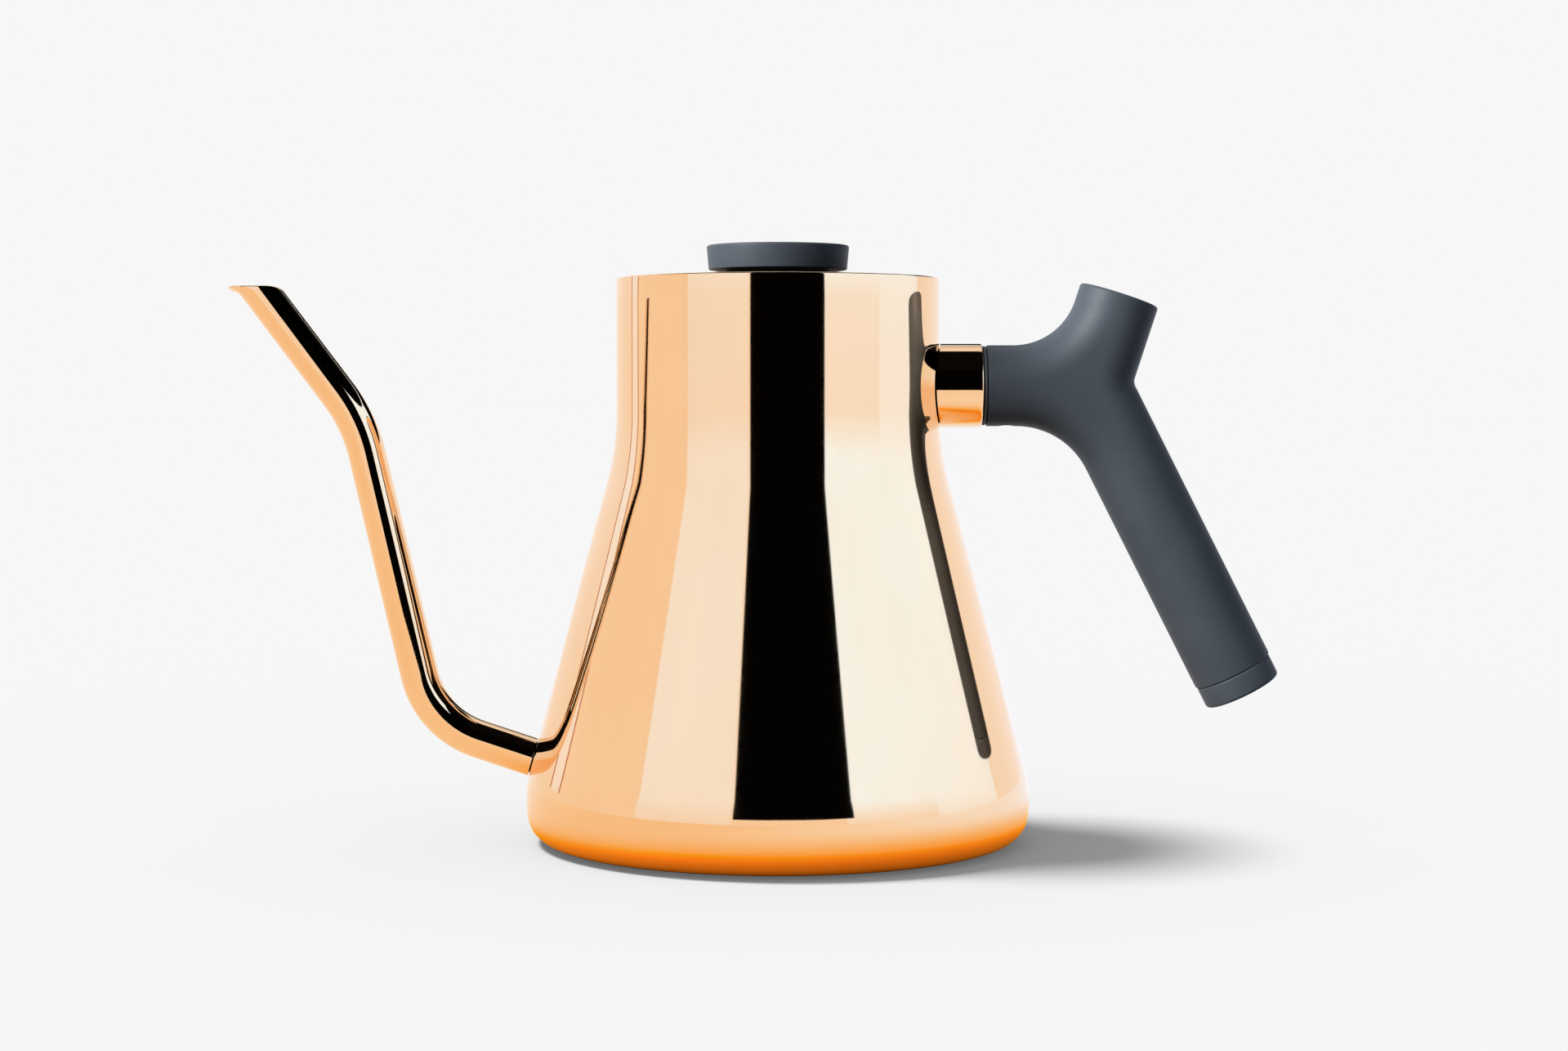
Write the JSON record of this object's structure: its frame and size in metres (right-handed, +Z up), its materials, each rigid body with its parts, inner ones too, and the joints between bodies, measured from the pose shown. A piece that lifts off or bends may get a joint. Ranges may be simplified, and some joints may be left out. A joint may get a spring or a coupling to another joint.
{
  "type": "gooseneck kettle",
  "caption": "Stovetop pour-over kettle: flared mirror-copper body, slim gooseneck spout, Y-shaped counterweighted handle, lift-off lid with a dial thermometer in its flat knob.",
  "frame": {"origin": "centre of the base on the surface it stands on", "axes": "+Z up along the body's axis, -X towards the spout, +X towards the handle; the XZ plane is the plane of symmetry"},
  "size_m": [0.2914, 0.1402, 0.1656],
  "materials": {
    "polished_copper": "mirror-polished copper-coloured plating on stainless steel",
    "stainless_steel": "satin stainless steel",
    "aluminium_core": "plain aluminium",
    "base_steel": "spun magnetic stainless steel",
    "black_moulding": "fine matt moulded plastic",
    "black_silicone": "matt silicone rubber",
    "clear_silicone": "translucent silicone rubber",
    "balance_steel": "plain steel bar",
    "brass": "plain brass",
    "dial_enamel": "matt white enamel with printed scale",
    "needle_paint": "gloss red paint",
    "dial_glass": "clear flat glass"
  },
  "bodies": {
    "kettle": {"kettle_body": "polished_copper", "base_core": "aluminium_core", "base_cap": "base_steel", "spout_tube": "polished_copper", "flow_restrictor": "stainless_steel", "handle_boss": "stainless_steel", "handle_tang": "stainless_steel", "handle_ferrule": "polished_copper", "ferrule_washer": "black_silicone", "handle_moulding": "black_moulding", "handle_set_screw": "stainless_steel", "balance_weight": "balance_steel", "weight_sleeve": "black_silicone", "grip_end_cap": "black_moulding", "end_cap_o_ring": "black_silicone"},
    "lid": {"lid_plate": "polished_copper", "lid_seal": "clear_silicone", "lid_knob": "black_moulding", "knob_spacer": "black_silicone", "thermometer_case": "stainless_steel", "dial_face": "dial_enamel", "dial_lens": "dial_glass", "dial_bezel": "stainless_steel", "probe_stem": "stainless_steel", "stem_washer": "clear_silicone", "stem_nut": "stainless_steel", "spindle_bush": "brass", "bimetal_coil": "brass"},
    "needle": {"needle": "needle_paint", "needle_spindle": "stainless_steel"}
  },
  "joints": [
    {"name": "lid_lift", "type": "slide", "parent": "kettle", "child": "lid", "axis": [0, 0, 1], "range_m": [0, 0.12]},
    {"name": "needle_turn", "type": "hinge", "parent": "lid", "child": "needle", "pos_m": [0, 0, 0.1623], "axis": [0, 0, -1], "range_deg": [0, 270], "stiffness_Nm_per_rad": 0.00002}
  ]
}
